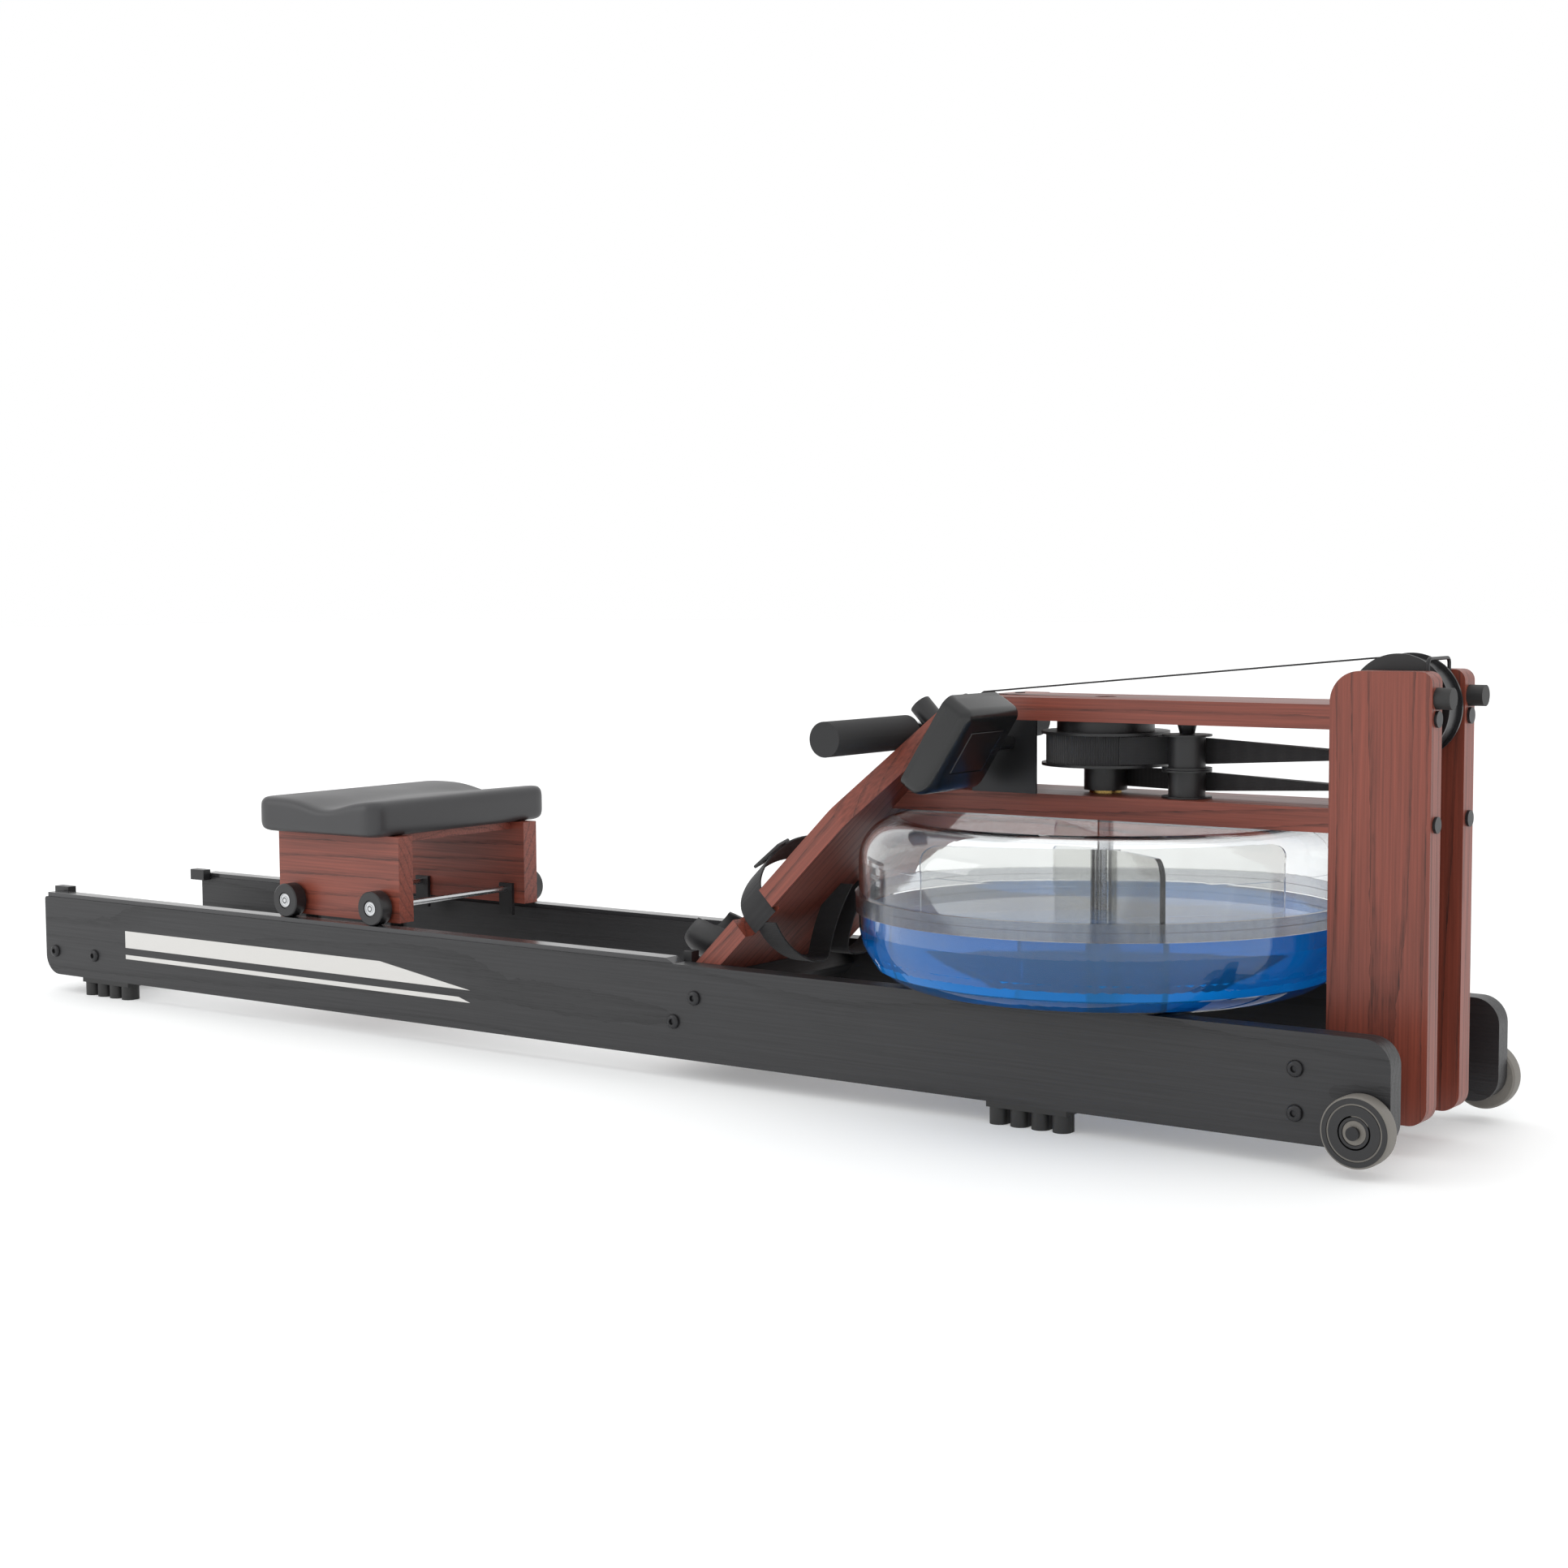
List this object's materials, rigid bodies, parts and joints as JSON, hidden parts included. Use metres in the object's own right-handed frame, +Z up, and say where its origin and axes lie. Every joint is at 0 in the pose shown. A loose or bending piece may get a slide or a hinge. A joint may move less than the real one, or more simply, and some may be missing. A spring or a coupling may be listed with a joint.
{
  "type": "rowing machine",
  "caption": "Wooden water rowing machine: two long rails, rolling seat, sloped footboard, clear water tank with paddle, strap-driven drum and pull handle.",
  "frame": {"origin": "on the floor, half-way along the machine and on its centre plane", "axes": "+X towards the bow (tank end), +Y to the left of a rower who faces the tank, +Z up"},
  "size_m": [2.093, 0.559, 0.511],
  "materials": {
    "black_ash": "satin stain over open grain",
    "red_wood": "satin red-brown stain",
    "track_plastic": "gloss",
    "black_plastic": "moulded satin",
    "seat_board_wood": "painted",
    "rubber": "matt",
    "dark_steel": "black oxide",
    "steel": "ground",
    "brass": "turned",
    "clear_shell": "clear polycarbonate",
    "water": "blue dyed water",
    "paddle_grey": "translucent grey",
    "webbing": "woven",
    "foam": "closed-cell foam skin",
    "screen": "clear window"
  },
  "bodies": {
    "frame": {"rail_left": "black_ash", "rail_right": "black_ash", "tracks": "track_plastic", "seat_stops": "black_plastic", "stern_spreader": "black_ash", "foot_spreader": "black_ash", "bow_spreader": "black_ash", "footboard": "red_wood", "upright_left": "red_wood", "upright_right": "red_wood", "top_deck": "red_wood", "lower_deck": "red_wood", "feet": "rubber", "rail_bolts": "dark_steel", "deck_bolts": "dark_steel", "bumpers": "rubber", "tank_lower": "clear_shell", "tank_upper": "clear_shell", "tank_rim": "clear_shell", "tank_plug": "black_plastic", "water": "water", "shaft_bush": "brass", "guide_post": "dark_steel", "console_bracket": "dark_steel", "pulley_axles": "steel", "strap_keeper": "dark_steel", "drive_strap": "webbing", "recoil_belt": "webbing", "recoil_cord": "webbing", "handle_strap": "webbing", "handle_pegs": "black_plastic", "transport_axles": "dark_steel", "foot_straps": "webbing"},
    "seat": {"seat_cushion": "foam", "seat_board": "seat_board_wood", "seat_sides": "red_wood", "seat_axles": "steel", "seat_guards": "black_plastic"},
    "seat_front_wheels": {"seat_wheels_front": "rubber"},
    "seat_rear_wheels": {"seat_wheels_rear": "rubber"},
    "left_transport_wheel": {"transport_wheel_left": "rubber"},
    "right_transport_wheel": {"transport_wheel_right": "rubber"},
    "paddle_wheel": {"paddle": "paddle_grey", "drive_shaft": "steel"},
    "drum_set": {"drum": "black_plastic", "wound_strap": "webbing", "clutch_hub": "black_plastic", "recoil_drum": "black_plastic"},
    "upper_roller": {"guide_roller_upper": "black_plastic"},
    "lower_roller": {"guide_roller_lower": "black_plastic"},
    "strap_pulley": {"top_pulley": "black_plastic"},
    "belt_pulley": {"recoil_pulley": "black_plastic"},
    "handle": {"handle_bar": "steel", "handle_grips": "foam"},
    "left_heel_cup": {"heel_cup_left": "black_plastic"},
    "right_heel_cup": {"heel_cup_right": "black_plastic"},
    "console": {"console_back": "black_plastic", "console_front": "black_plastic", "console_lens": "screen"},
    "start_key": {"console_key": "black_plastic"}
  },
  "joints": [
    {"name": "seat_slide", "type": "slide", "parent": "frame", "child": "seat", "axis": [1, 0, 0], "range_m": [-0.4515, 0.4515]},
    {"name": "front_wheels_roll", "type": "hinge", "parent": "seat", "child": "seat_front_wheels", "pos_m": [-0.3695, 0, 0.1665], "axis": [0, 1, 0], "continuous": true},
    {"name": "rear_wheels_roll", "type": "hinge", "parent": "seat", "child": "seat_rear_wheels", "pos_m": [-0.5305, 0, 0.1665], "axis": [0, 1, 0], "continuous": true},
    {"name": "left_transport_roll", "type": "hinge", "parent": "frame", "child": "left_transport_wheel", "pos_m": [1.0055, 0.172, 0.048], "axis": [0, 1, 0], "continuous": true},
    {"name": "right_transport_roll", "type": "hinge", "parent": "frame", "child": "right_transport_wheel", "pos_m": [1.0055, -0.172, 0.048], "axis": [0, 1, 0], "continuous": true},
    {"name": "paddle_spin", "type": "hinge", "parent": "frame", "child": "paddle_wheel", "pos_m": [0.63, 0, 0.22], "axis": [0, 0, 1], "continuous": true},
    {"name": "handle_pull", "type": "slide", "parent": "frame", "child": "handle", "axis": [-1, 0, 0], "range_m": [0, 1.1], "stiffness_N_per_m": 15, "springref_m": -1},
    {"name": "drum_turn", "type": "hinge", "parent": "frame", "child": "drum_set", "pos_m": [0.63, 0, 0.4], "axis": [0, 0, 1], "continuous": true},
    {"name": "upper_roller_turn", "type": "hinge", "parent": "frame", "child": "upper_roller", "pos_m": [0.7405, -0.0205, 0.4], "axis": [0, 0, 1], "continuous": true},
    {"name": "lower_roller_turn", "type": "hinge", "parent": "frame", "child": "lower_roller", "pos_m": [0.7405, -0.0205, 0.37], "axis": [0, 0, 1], "continuous": true},
    {"name": "strap_pulley_turn", "type": "hinge", "parent": "frame", "child": "strap_pulley", "pos_m": [0.9775, 0, 0.456], "axis": [0, -1, 0], "continuous": true},
    {"name": "belt_pulley_turn", "type": "hinge", "parent": "frame", "child": "belt_pulley", "pos_m": [0.9505, 0, 0.3431], "axis": [0, -1, 0], "continuous": true},
    {"name": "left_heel_slide", "type": "slide", "parent": "frame", "child": "left_heel_cup", "axis": [0.7145, 0, 0.6997], "range_m": [0, 0.03]},
    {"name": "right_heel_slide", "type": "slide", "parent": "frame", "child": "right_heel_cup", "axis": [0.7145, 0, 0.6997], "range_m": [0, 0.03]},
    {"name": "console_tilt", "type": "hinge", "parent": "frame", "child": "console", "pos_m": [0.54138, -0.15, 0.40861], "axis": [0, 1, 0], "range_deg": [-20, 25]},
    {"name": "key_press", "type": "slide", "parent": "console", "child": "start_key", "axis": [0.8425, 0, -0.5388], "range_m": [0, 0.001], "stiffness_N_per_m": 400}
  ],
  "couplings": [
    {"joint": "front_wheels_roll", "follows": "seat_slide", "rad_per_m": 44.444},
    {"joint": "rear_wheels_roll", "follows": "seat_slide", "rad_per_m": 44.444},
    {"joint": "drum_turn", "follows": "handle_pull", "rad_per_m": 14.837},
    {"joint": "upper_roller_turn", "follows": "handle_pull", "rad_per_m": -46.729},
    {"joint": "lower_roller_turn", "follows": "handle_pull", "rad_per_m": 17.61},
    {"joint": "strap_pulley_turn", "follows": "handle_pull", "rad_per_m": 19.084},
    {"joint": "belt_pulley_turn", "follows": "handle_pull", "rad_per_m": 14.275}
  ]
}
